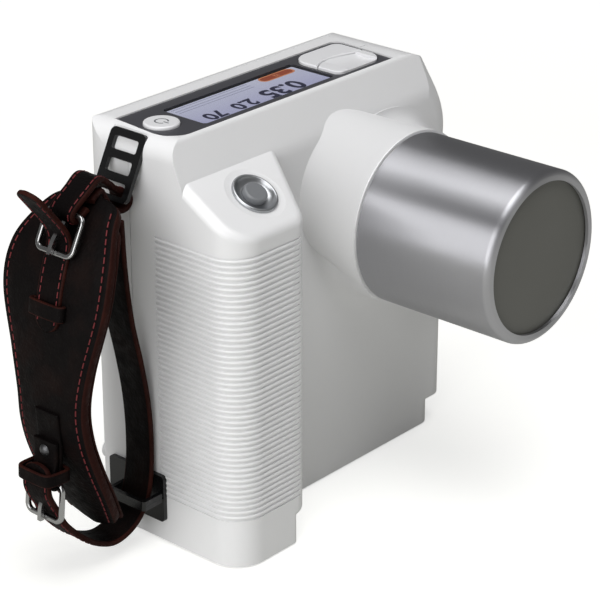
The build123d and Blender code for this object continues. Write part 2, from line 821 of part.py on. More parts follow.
with BuildPart() as beam_filter:
    add(turned([(-20.4, 0), (-20.4, 9.9), (-18.9, 9.9), (-18.9, 0)]))
save(beam_filter.part, "beam_filter")

with BuildPart() as collimator:
    add(turned([(-20.6, 4.0), (-20.6, 15.9), (-35.8, 15.9), (-35.8, 9.0)]))
save(collimator.part, "collimator")


def upright_turned(points):
    """Solid of revolution about the x-ray tube's upright axis from (radius, z) points."""
    with BuildPart(mode=Mode.PRIVATE) as p:
        with BuildSketch(Plane.XZ):
            with BuildLine():
                Polyline(*points, close=True)
            make_face()
        revolve(axis=Axis.Z)
    return p.part


with BuildPart() as tube_glass:
    add(upright_turned([
        (0, 76.0), (7, 76.0), (12, 81.0), (12, 127.0), (7.6, 132.0), (7.6, 130.4), (10.8, 126.0),
        (10.8, 82.0), (6.4, 77.6), (0, 77.6),
    ]))
save(tube_glass.part, "xray_tube_glass")

with BuildPart() as anode:
    add(upright_turned([(0, 106.0), (7.0, 106.0), (7.0, 134.0), (0, 134.0)]))
    with BuildSketch(Plane.YZ):
        with BuildLine():
            Polyline((-8, 104), (-8, 112), (8, 107), (8, 104), close=True)
        make_face()
    extrude(amount=8, both=True, mode=Mode.SUBTRACT)
save(anode.part, "anode")

with BuildPart() as cathode:
    add(upright_turned([(0, 77.8), (2, 77.8), (2, 88), (6.0, 88), (6.0, 95), (4.0, 95), (4.0, 92), (0, 92)]))
save(cathode.part, "cathode")

with BuildPart() as transformer:
    with BuildSketch(Plane.XY.offset(68)):
        with Locations((-19.8, 2)):
            Rectangle(12, 22)
    extrude(amount=34)
    with BuildSketch(Plane.XY.offset(74)):
        with Locations((-19.8, 2)):
            RectangleRounded(12.6, 27, 3)
    extrude(amount=22)
save(transformer.part, "transformer")

with BuildPart() as multiplier_board:
    with BuildSketch(Plane.YZ.offset(19)):
        with Locations((2, 101)):
            Rectangle(26, 62)
    extrude(amount=1.6)
    with BuildSketch(Plane.YZ.offset(19)):
        with Locations((2, 101)):
            with GridLocations(9, 12, 2, 5):
                Circle(3.2)
    extrude(amount=-4.5)
save(multiplier_board.part, "multiplier_board")

with BuildPart() as power_board:
    with BuildSketch(Plane.XZ.offset(-15.6)):
        with Locations((-74, 86)):
            Rectangle(46, 108)
    extrude(amount=1.6)
    with BuildSketch(Plane.XZ.offset(-14)):
        with Locations((-84, 60), (-64, 60), (-84, 84)):
            Circle(6)
        with Locations((-66, 100)):
            Rectangle(18, 22)
    extrude(amount=9)
save(power_board.part, "power_board")

with BuildPart() as battery_pack:
    with BuildSketch(Plane.XY.offset(14)) as s:
        with Locations((-97.75, -27.5)):
            RectangleRounded(26.5, 39, 7)
    extrude(amount=104)
    fillet(battery_pack.edges().filter_by(Axis.Z, reverse=True), 1.5)
save(battery_pack.part, "battery_pack")

with BuildPart() as charging_jack:
    with BuildSketch(Plane.XZ.offset(-back_y - 0.3)):
        with Locations((jack_x, jack_z)):
            Circle(jack_r)
            Circle(3.0, mode=Mode.SUBTRACT)
            Circle(0.9)
    extrude(amount=11)
    with BuildSketch(Plane.XZ.offset(-back_y + 10.7)):
        with Locations((jack_x, jack_z)):
            Circle(jack_r)
    extrude(amount=2)
save(charging_jack.part, "charging_jack")

# Hand strap. Its leather runs in the XZ plane, so each piece is a curve with a thickness,
# cut to its width by an outline seen from the side.


def band(points, thickness):
    """Strip of leather along a smooth curve of (x, z) points, wider than any piece needs."""
    with BuildPart(mode=Mode.PRIVATE) as b:
        with BuildSketch(Plane.XZ):
            with BuildLine() as path:
                Spline(*points)
            trace(path.line, thickness)
        extrude(amount=45, both=True)
    return b.part


def cut_width(piece, outline, round_r):
    """Cut a strip to an outline of (y, z) points with rounded corners."""
    with BuildPart(mode=Mode.PRIVATE) as b:
        with BuildSketch(Plane.YZ.offset(-200)) as s:
            with BuildLine():
                Polyline(*outline, close=True)
            make_face()
            if round_r:
                fillet(s.vertices(), round_r)
        extrude(amount=100)
        add(piece, mode=Mode.INTERSECT)
    return b.part


def cut_plan(piece, outline, round_r):
    """Cut a strip to an outline of (x, y) points seen from above."""
    with BuildPart(mode=Mode.PRIVATE) as b:
        with BuildSketch(Plane.XY) as s:
            with BuildLine():
                Polyline(*outline, close=True)
            make_face()
            fillet(s.vertices(), round_r)
        extrude(amount=200)
        add(piece, mode=Mode.INTERSECT)
    return b.part


def cross_rod(x, y, z, radius, width):
    """Rod along Y, for the openings that the prongs pass through."""
    with BuildPart(mode=Mode.PRIVATE) as r:
        with BuildSketch(Plane.XZ.offset(-y)):
            with Locations((x, z)):
                Circle(radius)
        extrude(amount=width / 2, both=True)
    return r.part


def level(y_mid, width, z_low, z_high):
    """Outline of an even width between two heights."""
    half = width / 2
    return [(y_mid - half, z_low), (y_mid + half, z_low), (y_mid + half, z_high), (y_mid - half, z_high)]


# Centre curve of the pad, from its top end down to its bottom end
pad_curve = [
    (-137.5, 147.6), (-145.5, 142.6), (-154.0, 131.0), (-159.0, 115.0), (-161.8, 92.0), (-162.6, 76.0),
    (-161.6, 63.0), (-158.0, 50.0), (-152.5, 37.0), (-146.5, 26.0), (-141.0, 18.5),
]
lining_curve = [(x + (pad_t + lining_t) / 2 - 0.4, z) for x, z in pad_curve[1:]]
pad_half = [
    (147.5, 15.5), (143.0, 19.5), (131.0, 25.8), (118.0, 26.8), (104.0, 24.0), (91.0, 20.3),
    (77.0, 17.8), (62.0, 18.2), (48.0, 18.8), (36.0, 18.0), (26.0, 15.0), (18.0, 11.0),
]
pad_y = -4.0
pad_outline = [(pad_y - w, z) for z, w in pad_half] + [(pad_y + w, z) for z, w in reversed(pad_half)]
pad_strip = band(pad_curve, pad_t)
hand_pad = cut_width(pad_strip, pad_outline, 4.0)
lining_outline = [(pad_y + (y - pad_y) * 0.96, z) for y, z in pad_outline]
pad_lining = cut_width(band(lining_curve, lining_t + 0.8) - pad_strip, lining_outline, 3.0)


def buckle_plane(x, z, lean):
    """Plane of a buckle: its local Y runs up the strap and its normal points away from the unit."""
    up = Vector(sin(radians(lean)), 0, cos(radians(lean)))
    return Plane(origin=(x, strap_y, z), x_dir=(0, -1, 0), z_dir=Vector(-up.Z, 0, up.X))


def buckle(plane):
    with BuildPart(mode=Mode.PRIVATE) as b:
        with BuildSketch(plane):
            RectangleRounded(buckle_w, buckle_l, 3.8)
            RectangleRounded(buckle_w - 4 * wire_r, buckle_l - 4 * wire_r, 1.8, mode=Mode.SUBTRACT)
        extrude(amount=wire_r, both=True)
        fillet(b.faces().sort_by(Axis(plane.origin, plane.z_dir))[-1].edges(), 0.7)
        fillet(b.faces().sort_by(Axis(plane.origin, plane.z_dir))[0].edges(), 0.7)
    return b.part


prong_r = 0.9
bar_up = buckle_l / 2 - wire_r
rest_height = wire_r + prong_r + 0.1


def prong(plane):
    """Prong: an eye round the upper bar and a pin that rests on the lower bar."""
    side = Plane(origin=plane.origin, x_dir=plane.y_dir, z_dir=plane.x_dir * -1)
    out = 1 if side.y_dir.dot(plane.z_dir) > 0 else -1
    eye = wire_r + 0.45
    with BuildPart(mode=Mode.PRIVATE) as p:
        with BuildSketch(side):
            with Locations((bar_up, 0)):
                Circle(eye + 1.1)
        extrude(amount=1.1, both=True)
        with BuildSketch(side):
            with BuildLine() as path:
                Spline(
                    (bar_up - eye - 0.3, -0.9 * out), (bar_up - 5.5, -0.5 * out), (-1.0, 1.1 * out),
                    (-bar_up + 1.5, rest_height * out), (-bar_up - 1.2, rest_height * out),
                )
            trace(path.line, 2 * prong_r)
        extrude(amount=prong_r, both=True)
        with BuildSketch(side):
            with Locations((bar_up, 0)):
                Circle(eye)
        extrude(amount=3, both=True, mode=Mode.SUBTRACT)
    return p.part


upper_buckle_plane = buckle_plane(-155.9, 140.6, 27.2)
lower_buckle_plane = buckle_plane(-169.4, 38.0, 6.0)
save(buckle(upper_buckle_plane), "upper_buckle")
save(buckle(lower_buckle_plane), "lower_buckle")
save(prong(upper_buckle_plane), "upper_prong")
save(prong(lower_buckle_plane), "lower_prong")

thin_t = 1.8
prong_gap = 3.0
upper_bar = upper_buckle_plane.from_local_coords((0, bar_up, 0))
lower_bar = lower_buckle_plane.from_local_coords((0, bar_up, 0))
upper_hole = upper_buckle_plane.from_local_coords((0, -0.7, 0.6))
lower_hole = lower_buckle_plane.from_local_coords((0, 0.2, 0.6))

# Loop from the upper buckle's bar through the lowest window of the plate and back
loop_curve = [
    (-146.8, 148.2), (-150.6, 145.9), (-153.2, 145.2), (-154.8, 147.4), (-152.9, 149.9), (-146.0, 154.6),
    (-138.5, 156.2), (-131.5, 152.6), (-126.2, 148.3), (-122.6, 146.35), (-119.4, 144.2), (-118.7, 141.2),
    (-120.6, 138.9), (-124.6, 138.9), (-129.8, 141.8), (-133.4, 147.0), (-137.2, 151.3), (-142.0, 151.0),
    (-145.2, 149.4),
]
loop_outline = [
    (-160, strap_y - 6.0), (-146, strap_y - 6.0), (-127, plate_y - 5.5), (-112, plate_y - 5.5),
    (-112, plate_y + 5.5), (-127, plate_y + 5.5), (-146, strap_y + 6.0), (-160, strap_y + 6.0),
]
upper_loop = cut_plan(band(loop_curve, leather_t), loop_outline, 1.0)
upper_loop = upper_loop - cross_rod(upper_bar.X, strap_y, upper_bar.Z, 4.6, prong_gap)
save(upper_loop, "upper_loop")

# Tongue of the pad: sewn on the pad, up through the buckle, with its tip free
tongue_curve = [
    (-164.6, 104.5), (-163.4, 112.0), (-161.7, 120.0), (-159.6, 127.0), (-157.4, 133.2), (-156.2, 138.0),
    (-158.4, 143.6), (-164.0, 151.0), (-171.8, 160.6),
]
pad_tongue = cut_width(band(tongue_curve, thin_t), level(strap_y, 13, 104.5, 162), 5.0)
pad_tongue = pad_tongue - cross_rod(upper_hole.X, strap_y, upper_hole.Z, 3.6, prong_gap)
save(pad_tongue, "pad_tongue")

# Chape: from the pad, over the rivet and round the lower buckle's bar
rivet_z = 57.5
chape_curve = [
    (-166.3, 73.0), (-165.6, 62.0), (-165.7, 54.0), (-166.2, 49.0), (-166.5, 45.4), (-168.4, 43.1),
    (-170.8, 44.6), (-170.3, 47.4), (-168.5, 51.0), (-167.7, 56.0), (-167.6, 61.5),
]
rivet_hole = Plane.YZ.offset(-172)
with BuildPart() as rivet_bore:
    with BuildSketch(rivet_hole):
        with Locations((strap_y, rivet_z)):
            Circle(1.25)
    extrude(amount=20)
lower_chape = cut_width(band(chape_curve, thin_t), level(strap_y, 12, 40, 74), 2.0)
lower_chape = lower_chape - cross_rod(lower_bar.X, strap_y, lower_bar.Z, 4.4, prong_gap) - rivet_bore.part
save(lower_chape, "lower_chape")
save(hand_pad - rivet_bore.part, "hand_pad")
save(pad_lining - rivet_bore.part, "pad_lining")

with BuildPart() as pad_rivet:
    with BuildSketch(Plane.XZ.offset(-strap_y)):
        with BuildLine():
            Polyline((-154.6, rivet_z), (-168.9, rivet_z), (-169.9, rivet_z))
            ThreePointArc((-169.9, rivet_z), (-169.5, rivet_z + 1.6), (-168.65, rivet_z + 2.4))
            Polyline(
                (-168.65, rivet_z + 2.4), (-168.65, rivet_z + 1.2), (-155.6, rivet_z + 1.2),
                (-155.6, rivet_z + 2.2), (-154.6, rivet_z + 2.2), (-154.6, rivet_z),
            )
        make_face()
    revolve(axis=Axis((0, strap_y, rivet_z), (1, 0, 0)))
save(pad_rivet.part, "pad_rivet")

# Long belt: tip in the keeper, through the lower buckle, round the bottom and up the side
belt_curve = [
    (-172.0, 53.2), (-173.1, 47.0), (-173.0, 42.2), (-170.8, 37.2), (-168.4, 33.2), (-167.1, 29.6),
    (-164.0, 25.0), (-157.0, 17.6), (-148.5, 11.4), (-139.5, 8.6), (-130.0, 11.4), (-123.4, 18.5),
    (-120.3, 30.0), (-119.6, 45.0), (-120.8, 62.0), (-124.0, 80.0), (-127.8, 97.0), (-130.4, 118.0),
    (-131.5, 139.2),
]
long_belt = cut_width(band(belt_curve, leather_t), level(strap_y - 0.2, belt_w, 5, 150), 2.0)
long_belt = long_belt - cross_rod(lower_hole.X, strap_y, lower_hole.Z, 3.6, prong_gap)
save(long_belt, "long_belt")


def keeper(plane, width, base_gap, inner_t, outer_t, length):
    """Leather ring over a tongue: hollow in the strap's width, open up and down the strap."""
    with BuildPart(mode=Mode.PRIVATE) as k:
        with BuildSketch(plane):
            Rectangle(width + 3.2, length)
        extrude(amount=outer_t)
        fillet(k.faces().sort_by(Axis(plane.origin, plane.z_dir))[-1].edges().filter_by(
            lambda e: e.length < width), 1.5)
        with BuildSketch(plane.offset(base_gap)):
            Rectangle(width, length + 2)
        extrude(amount=inner_t, mode=Mode.SUBTRACT)
    return k.part


upper_keeper_plane = buckle_plane(-162.3, 112.8, 9.0)
lower_keeper_plane = buckle_plane(-163.4, 48.6, 3.0)
save(keeper(upper_keeper_plane, 13.6, -1.0, 3.6, 4.0, 6.0), "upper_keeper")
save(keeper(lower_keeper_plane, 14.8, 1.4, 10.0, 12.8, 4.6), "lower_keeper")

# Plate low on the left side, with a bridge over the belt and two studs
low_plate_y = (-15.6, 14.0)
low_plate_z = (9.0, 29.0)
low_plate_mid = (sum(low_plate_y) / 2, sum(low_plate_z) / 2)
bridge_y = (-13.4, 3.0)
bridge_z = (18.0, 22.0)
bridge_out = -126.6
plate_face = left_x - running
with BuildPart() as lower_plate:
    with BuildSketch(Plane.YZ.offset(plate_face)) as s:
        with Locations(low_plate_mid):
            RectangleRounded(low_plate_y[1] - low_plate_y[0], low_plate_z[1] - low_plate_z[0], 1.6)
    extrude(amount=-plate_t)
    with BuildSketch(Plane.YZ.offset(plate_face)):
        with Locations(*stud_yz):
            Circle(1.1)
    extrude(amount=2.4)
    with BuildSketch(Plane.XY.offset(bridge_z[0])):
        with Locations(((plate_face + bridge_out - plate_t) / 2, sum(bridge_y) / 2)):
            Rectangle(plate_face - bridge_out + plate_t, bridge_y[1] - bridge_y[0] + 2 * plate_t)
        with Locations(((plate_face - plate_t + bridge_out) / 2, sum(bridge_y) / 2)):
            Rectangle(plate_face - plate_t - bridge_out, bridge_y[1] - bridge_y[0], mode=Mode.SUBTRACT)
    extrude(amount=bridge_z[1] - bridge_z[0])
    ends = lower_plate.edges().filter_by(Axis.Z).filter_by(lambda e: near(e.center().X, bridge_out - plate_t))
    fillet(ends, 1.6)
save(lower_plate.part, "strap_plate_lower")
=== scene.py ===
"""Portable dental x-ray unit: white ribbed body, turned aluminium cone, dark panel, leather hand strap."""

from math import cos, pi, radians, sin, sqrt

import bmesh
import bpy
from mathutils import Matrix, Vector


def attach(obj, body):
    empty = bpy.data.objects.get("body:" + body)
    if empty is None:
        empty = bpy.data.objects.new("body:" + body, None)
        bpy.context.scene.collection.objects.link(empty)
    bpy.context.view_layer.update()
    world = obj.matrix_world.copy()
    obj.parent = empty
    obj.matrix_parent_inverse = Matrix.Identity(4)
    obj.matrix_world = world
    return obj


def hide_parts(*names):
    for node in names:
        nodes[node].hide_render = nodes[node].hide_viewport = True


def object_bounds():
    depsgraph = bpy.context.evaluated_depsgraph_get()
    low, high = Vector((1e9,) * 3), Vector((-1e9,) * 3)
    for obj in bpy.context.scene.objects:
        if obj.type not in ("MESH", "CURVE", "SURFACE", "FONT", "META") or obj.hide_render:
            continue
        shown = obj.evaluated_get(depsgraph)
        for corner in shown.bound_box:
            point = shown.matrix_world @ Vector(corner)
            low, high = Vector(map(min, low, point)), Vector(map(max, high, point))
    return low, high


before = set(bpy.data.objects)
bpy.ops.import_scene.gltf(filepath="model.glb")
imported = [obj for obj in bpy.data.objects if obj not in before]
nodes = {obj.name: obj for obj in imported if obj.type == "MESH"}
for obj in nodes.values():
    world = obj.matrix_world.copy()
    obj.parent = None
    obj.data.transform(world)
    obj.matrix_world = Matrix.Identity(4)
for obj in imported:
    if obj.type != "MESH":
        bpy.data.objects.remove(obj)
cad_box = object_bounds()
MM = 0.001


def linear(code):
    """Linear colour of an sRGB hex code."""
    channels = [int(code[i:i + 2], 16) / 255 for i in (1, 3, 5)]
    return tuple(c / 12.92 if c <= 0.04045 else ((c + 0.055) / 1.055) ** 2.4 for c in channels) + (1.0,)


def add_node(tree, kind, links=None, **values):
    """One node with its properties, input values and incoming links set."""
    node = tree.nodes.new(kind)
    for key, value in values.items():
        if key in node.inputs:
            node.inputs[key].default_value = value
        else:
            setattr(node, key, value)
    for key, socket in (links or {}).items():
        tree.links.new(socket, node.inputs[key])
    return node


def new_material(name, color, **sockets):
    """Material with a principled shader; extra keywords set the shader's own sockets."""
    material = bpy.data.materials.new(name)
    material.use_nodes = True
    shader = material.node_tree.nodes["Principled BSDF"]
    shader.inputs["Base Color"].default_value = color
    for key, value in sockets.items():
        shader.inputs[key.replace("_", " ")].default_value = value
    return material, material.node_tree, shader


def add_object(name, data):
    """New object in the scene, at the origin."""
    made = bpy.data.objects.new(name, data)
    bpy.context.scene.collection.objects.link(made)
    return made


def object_coords(tree, scale=(1, 1, 1)):
    """Place on the object in metres, stretched by the scale."""
    links = {"Vector": add_node(tree, "ShaderNodeTexCoord").outputs["Object"]}
    return add_node(tree, "ShaderNodeMapping", links, Scale=scale).outputs["Vector"]


def noise(tree, size, detail=3.0, scale=(1, 1, 1)):
    """Noise whose grains are about that many metres across."""
    links = {"Vector": object_coords(tree, scale)}
    return add_node(tree, "ShaderNodeTexNoise", links, Scale=1 / size, Detail=detail).outputs["Fac"]


def remap(tree, socket, low, high, low_in=0.3, high_in=0.7):
    """The value moved from one range to another; noise lies mostly between 0.3 and 0.7."""
    values = {"From Min": low_in, "From Max": high_in, "To Min": low, "To Max": high}
    return add_node(tree, "ShaderNodeMapRange", {"Value": socket}, **values).outputs["Result"]


def mix_colors(tree, factor, first, second):
    """From the first colour at 0 to the second at 1."""
    mix = tree.nodes.new("ShaderNodeMix")
    mix.data_type = "RGBA"
    mix.inputs[6].default_value = first
    mix.inputs[7].default_value = second
    tree.links.new(factor, mix.inputs[0])
    return mix.outputs[2]


def bump(tree, shader, height, depth):
    """Fine relief of that depth in metres."""
    node = add_node(tree, "ShaderNodeBump", {"Height": height}, Strength=1.0, Distance=depth)
    tree.links.new(node.outputs["Normal"], shader.inputs["Normal"])


def moulded_plastic(name, code, roughness, grain=0.0):
    """Moulded plastic: even colour, a very fine spark texture and slightly uneven gloss."""
    material, tree, shader = new_material(name, linear(code), Roughness=roughness)
    cloud = noise(tree, 0.03, 2.0)
    tree.links.new(remap(tree, cloud, roughness - 0.04, roughness + 0.04), shader.inputs["Roughness"])
    if grain:
        bump(tree, shader, noise(tree, 0.0006, 2.0), grain)
    return material


def cast_metal(name, code, roughness):
    """Cast metal: a dull sheen broken up by a fine grain."""
    material, tree, shader = new_material(name, linear(code), Metallic=1.0)
    grain = noise(tree, 0.0005, 3.0)
    tree.links.new(remap(tree, grain, roughness - 0.04, roughness + 0.05), shader.inputs["Roughness"])
    bump(tree, shader, grain, 0.000004)
    return material


def turned_metal(name, code, roughness):
    """Metal turned on a lathe: light smears along the axis into soft bands, with faint rings round it."""
    look = {"Metallic": 1.0, "Anisotropic": 0.9, "Anisotropic_Rotation": 0.25}
    material, tree, shader = new_material(name, linear(code), **look)
    around = add_node(tree, "ShaderNodeTangent", direction_type="RADIAL", axis="Y")
    tree.links.new(around.outputs["Tangent"], shader.inputs["Tangent"])
    rings = noise(tree, 0.0005, 3.0, (0.02, 1, 0.02))
    tree.links.new(remap(tree, rings, roughness - 0.03, roughness + 0.04), shader.inputs["Roughness"])
    bump(tree, shader, rings, 0.000002)
    return material


def polished_metal(name, code, roughness):
    """Polished or plated metal with faint handling marks."""
    material, tree, shader = new_material(name, linear(code), Metallic=1.0)
    marks = noise(tree, 0.004, 4.0)
    tree.links.new(remap(tree, marks, roughness, roughness + 0.12), shader.inputs["Roughness"])
    return material


def leather(name, code, worn_code, roughness):
    """Leather: pebbled grain, creases and a warmer worn tone in patches."""
    material, tree, shader = new_material(name, linear(code), Specular_IOR_Level=0.07)
    patches = noise(tree, 0.012, 4.0)
    color = mix_colors(tree, remap(tree, patches, 0, 1, 0.45, 0.75), linear(code), linear(worn_code))
    tree.links.new(color, shader.inputs["Base Color"])
    pebbles = add_node(tree, "ShaderNodeTexVoronoi", {"Vector": object_coords(tree)}, Scale=1 / 0.0011)
    creases = noise(tree, 0.0035, 4.0)
    total = add_node(tree, "ShaderNodeMath", {0: pebbles.outputs["Distance"], 1: creases}, operation="ADD")
    tree.links.new(remap(tree, creases, roughness - 0.1, roughness + 0.12), shader.inputs["Roughness"])
    bump(tree, shader, total.outputs[0], 0.00012)
    return material


# Housing, panel and inner parts: satin white shells, slightly glossier keys, dark film, dull seals
white_plastic = moulded_plastic("white satin plastic", "#e9e9ea", 0.34, 0.00001)
key_plastic = moulded_plastic("white key plastic", "#e4e4e6", 0.3)
panel_film = moulded_plastic("dark grey panel film", "#3d3d42", 0.42)
dark_plastic = moulded_plastic("black moulded plastic", "#1c1c1d", 0.5, 0.00002)
window_plastic = moulded_plastic("dark grey window plastic", "#64645f", 0.48)
black_enamel = moulded_plastic("black enamel", "#0d0d0e", 0.28)
black_rubber = moulded_plastic("black rubber", "#161616", 0.75, 0.00003)
circuit_board = moulded_plastic("green circuit board", "#1f5a35", 0.45)
battery_wrap = moulded_plastic("blue battery wrap", "#2a4c8a", 0.35)
# Metals: the dull silver tube, bright plated small parts, dark rivet, grey satin button in a chrome ring
turned_tube = turned_metal("turned aluminium tube", "#bcbcc0", 0.41)
cast_aluminium = cast_metal("cast aluminium", "#b9babc", 0.5)
bright_steel = polished_metal("zinc plated steel", "#b8b8b6", 0.3)
bezel_chrome = polished_metal("chrome ring", "#b4b6b9", 0.28)
button_metal = moulded_plastic("grey satin button", "#77797c", 0.36)
buckle_nickel = polished_metal("nickel plated buckle", "#a8a8a8", 0.16)
rivet_metal = polished_metal("dark nickel rivet", "#5a5a5c", 0.35)
lead_metal = polished_metal("lead", "#5c5f63", 0.55)
turned_brass = polished_metal("turned brass", "#b8935a", 0.28)
copper = polished_metal("copper", "#b87350", 0.35)
# Strap: near-black leather worn brown, red-brown cut edges and back, dark red seams
black_leather = leather("black leather", "#080505", "#150b09", 0.6)
brown_leather = leather("dark brown lining leather", "#260f0b", "#351711", 0.65)
thread = moulded_plastic("dark red thread", "#6a1e22", 0.8)


def clear_cover():
    """Clear screen cover: mostly see-through, with a glossy face."""
    material = new_material("clear screen cover", linear("#20202a"), Roughness=0.06, Alpha=0.1)[0]
    material.surface_render_method = "BLENDED"
    return material


def tube_envelope():
    """Thin clear glass with a trace of green."""
    return new_material("tube glass", linear("#dfe8e8"), Roughness=0.05, Alpha=0.3)[0]


def lit_screen():
    """Screen lit from behind: pale lavender, brighter towards its back edge."""
    material, tree, shader = new_material("lit screen", linear("#b9bbd8"), Roughness=0.4)
    coords = add_node(tree, "ShaderNodeSeparateXYZ", {"Vector": object_coords(tree)})
    fade = remap(tree, coords.outputs["Y"], 0, 1, -0.0145, 0.0063)
    color = mix_colors(tree, fade, linear("#b3b5d6"), linear("#cfd2e6"))
    tree.links.new(color, shader.inputs["Base Color"])
    tree.links.new(color, shader.inputs["Emission Color"])
    shader.inputs["Emission Strength"].default_value = 0.12
    return material


finish = {
    "front_housing": white_plastic, "rear_housing": white_plastic, "base_plate": white_plastic,
    "control_overlay": panel_film, "panel_frame": dark_plastic, "display_window": clear_cover(),
    "display_module": lit_screen(), "power_button": key_plastic, "rear_key": key_plastic,
    "front_key": key_plastic, "keypad_mat": black_rubber, "control_board": circuit_board,
    "power_board": circuit_board, "multiplier_board": circuit_board, "battery_pack": battery_wrap,
    "exposure_bezel": bezel_chrome, "exposure_button": button_metal, "exposure_switch": dark_plastic,
    "cone_tube": turned_tube, "cone_lining": lead_metal, "cone_window": window_plastic,
    "window_seal": black_rubber, "neck_ring": cast_aluminium, "generator_tank": cast_aluminium,
    "tank_cover": cast_aluminium, "beam_filter": cast_aluminium, "collimator": lead_metal,
    "xray_tube_glass": tube_envelope(), "anode": copper, "cathode": bright_steel,
    "transformer": lead_metal, "charging_jack": dark_plastic, "tripod_bush": turned_brass,
    "base_screws": bright_steel, "housing_screws": bright_steel, "rubber_feet": black_rubber,
    "strap_plate_upper": black_enamel, "strap_plate_lower": black_enamel, "pad_rivet": rivet_metal,
    "upper_buckle": buckle_nickel, "lower_buckle": buckle_nickel, "upper_prong": buckle_nickel,
    "lower_prong": buckle_nickel,
}
for name, material in finish.items():
    mesh = nodes[name].data
    mesh.materials.clear()
    mesh.materials.append(material)


# Leather strap, in mm: stitch grooves, stitches, and the thickness of each leather
GROOVE_DEEP = 0.22
GROOVE_HALF = 0.45
STITCH_PITCH = 3.4
STITCH_LENGTH = 2.3
STITCH_RADIUS = 0.26
LEATHER = 2.2
THIN_LEATHER = 1.8
KEEPER_T = 1.4
LINING_T = 1.2
PAD_EDGE_T = 3.4
PAD_CROWN = 1.9
PAD_SEAM = 3.0
# Middle of the strap and of the upper plate, from front to back
STRAP_Y = -5.0
PLATE_Y = 1.45


def smooth_path(points, step):
    """Points at even steps along the smooth curve through the given points (tuples of any length)."""
    size = len(points[0])
    ends = [tuple(2 * points[0][k] - points[1][k] for k in range(size))]
    ends += list(points)
    ends += [tuple(2 * points[-1][k] - points[-2][k] for k in range(size))]
    fine = []
    for a, b, c, d in zip(ends, ends[1:], ends[2:], ends[3:]):
        for i in range(16):
            t = i / 16
            fine.append(tuple(
                0.5 * (2 * b[k] + (c[k] - a[k]) * t + (2 * a[k] - 5 * b[k] + 4 * c[k] - d[k]) * t * t
                       + (3 * b[k] - a[k] - 3 * c[k] + d[k]) * t ** 3)
                for k in range(size)
            ))
    fine.append(tuple(points[-1]))
    lengths = [0.0]
    for p, q in zip(fine, fine[1:]):
        lengths.append(lengths[-1] + (Vector(q[:3]) - Vector(p[:3])).length)
    count = max(2, round(lengths[-1] / step))
    even = []
    j = 0
    for i in range(count + 1):
        target = lengths[-1] * i / count
        while j < len(lengths) - 2 and lengths[j + 1] < target:
            j += 1
        span = lengths[j + 1] - lengths[j] or 1.0
        t = (target - lengths[j]) / span
        even.append(tuple(fine[j][k] + (fine[j + 1][k] - fine[j][k]) * t for k in range(size)))
    return even


class Ribbon:
    """Strip of leather: centre points, half widths and the directions across and out of it."""

    def __init__(self, points, step=1.2, across=(0, 1, 0)):
        even = smooth_path(points, step)
        self.centre = [Vector(p[:3]) for p in even]
        self.half = [p[3] for p in even]
        self.across = []
        self.out = []
        last = len(even) - 1
        for i, point in enumerate(self.centre):
            along = (self.centre[min(i + 1, last)] - self.centre[max(i - 1, 0)]).normalized()
            side = Vector(across) - along * along.dot(Vector(across))
            self.across.append(side.normalized())
            self.out.append(side.normalized().cross(along).normalized())

    def at(self, i, side, height):
        """Point that far to the side of the middle line and that far out of the strip."""
        return self.centre[i] + self.across[i] * side + self.out[i] * height

    def round_ends(self, first, second):
        """Narrow the strip to a rounded end, with a radius in mm at each end (0 leaves it square)."""
        forward = range(len(self.centre))
        for order, radius in ((forward, first), (reversed(forward), second)):
            run = 0.0
            before = None
            for i in order:
                if before is not None:
                    run += (self.centre[i] - self.centre[before]).length
                before = i
                if run < radius:
                    self.half[i] -= radius - sqrt(max(radius ** 2 - (radius - run) ** 2, 0.02))


def strap_mesh(name, ribbon, thickness, crown=0.0, groove_in=0.0, materials=(), round_r=0.7, inside=0):
    """Closed strip of leather with rounded edges, an optional crown and sunk stitch lines.

    The first material is its face, the second its edges; inside picks the one of its back.
    """
    mesh = bpy.data.meshes.new(name)
    bm = bmesh.new()
    rows = []
    half_t = thickness / 2
    for i in range(len(ribbon.centre)):
        half = max(ribbon.half[i], round_r + 0.1)
        stops = [-1.0, -0.75, -0.5, -0.25, 0.0, 0.25, 0.5, 0.75, 1.0]
        inner = half - round_r
        sides = [s * inner for s in stops]
        if groove_in:
            reach = max(half - groove_in, 0.5)
            sides = sorted(sides + [s * (reach + d) for s in (-1, 1) for d in (-GROOVE_HALF, 0, GROOVE_HALF)])
        section = []
        for s in sides:
            sunk = GROOVE_DEEP if groove_in and abs(abs(s) - reach) < 0.1 else 0.0
            section.append((s, half_t + crown_lift(s, half, crown) - sunk))
        turns = (radians(35), radians(70))
        edge = [(inner + round_r * sin(a), half_t - round_r + round_r * cos(a)) for a in turns]
        section += edge
        section += [(s, -h) for s, h in reversed(edge)]
        section += [(s, -half_t) for s in (inner, inner * 0.5, 0.0, -inner * 0.5, -inner)]
        section += [(-s, -h) for s, h in edge]
        section += [(-s, h) for s, h in reversed(edge)]
        rows.append([bm.verts.new(ribbon.at(i, s, h) * MM) for s, h in section])
    count = len(rows[0])
    top = len(sides)
    for a, b in zip(rows, rows[1:]):
        for k in range(count):
            n = (k + 1) % count
            face = bm.faces.new((a[k], a[n], b[n], b[k]))
            face.material_index = 1
            if k < top - 1:
                face.material_index = 0
            elif top + 3 < k < count - 5:
                face.material_index = inside
            face.smooth = True
    for row, flip in ((rows[0], True), (rows[-1], False)):
        face = bm.faces.new(list(reversed(row)) if flip else row)
        face.material_index = 1
    bmesh.ops.recalc_face_normals(bm, faces=bm.faces)
    bm.to_mesh(mesh)
    bm.free()
    for material in materials:
        mesh.materials.append(material)
    return add_object(name, mesh)


